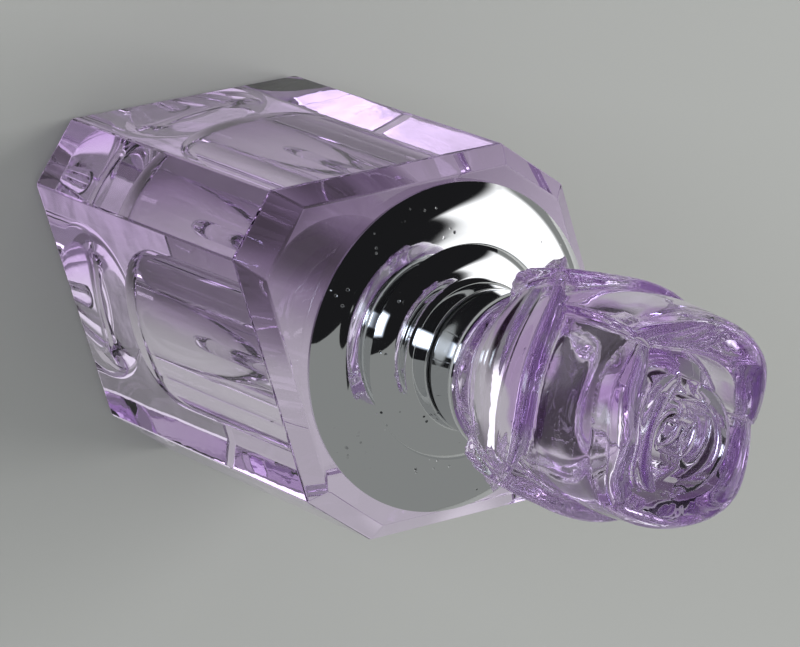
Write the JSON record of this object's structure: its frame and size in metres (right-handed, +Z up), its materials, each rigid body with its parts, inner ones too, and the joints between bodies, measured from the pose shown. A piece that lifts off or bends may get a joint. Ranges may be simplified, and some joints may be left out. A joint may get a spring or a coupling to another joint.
{
  "type": "perfume bottle",
  "caption": "Octagonal cut-glass perfume bottle of lozenge section with a domed plated collar, screw stopper, dip rod and rose finial.",
  "frame": {"origin": "centre of the flat base, on the bottle's axis", "axes": "+Z up the bottle's axis towards the rose; +X towards the slanting flat face, which leans 16 degrees from the X axis; the faces across Y are square to it"},
  "size_m": [0.0346, 0.028, 0.0599],
  "materials": {
    "lavender_glass": "polished",
    "clear_glass": "polished",
    "plating": "polished, pitted",
    "clear_plastic": "gloss",
    "white_plastic": "gloss",
    "black_rubber": "matt"
  },
  "bodies": {
    "bottle": {"glass_bottle": "lavender_glass", "collar_gasket": "clear_plastic", "neck_sleeve": "white_plastic", "collar": "plating"},
    "seal": {"sealing_washer": "black_rubber"},
    "stopper": {"screw_plug": "white_plastic", "stopper_ferrule": "plating", "dip_rod": "clear_glass", "rose_finial": "lavender_glass"}
  },
  "joints": [
    {"name": "stopper_lift", "type": "slide", "parent": "bottle", "child": "seal", "axis": [0, 0, 1], "range_m": [0, 0.04]},
    {"name": "stopper_turn", "type": "hinge", "parent": "seal", "child": "stopper", "pos_m": [0, 0, 0.035], "axis": [0, 0, 1], "continuous": true}
  ]
}
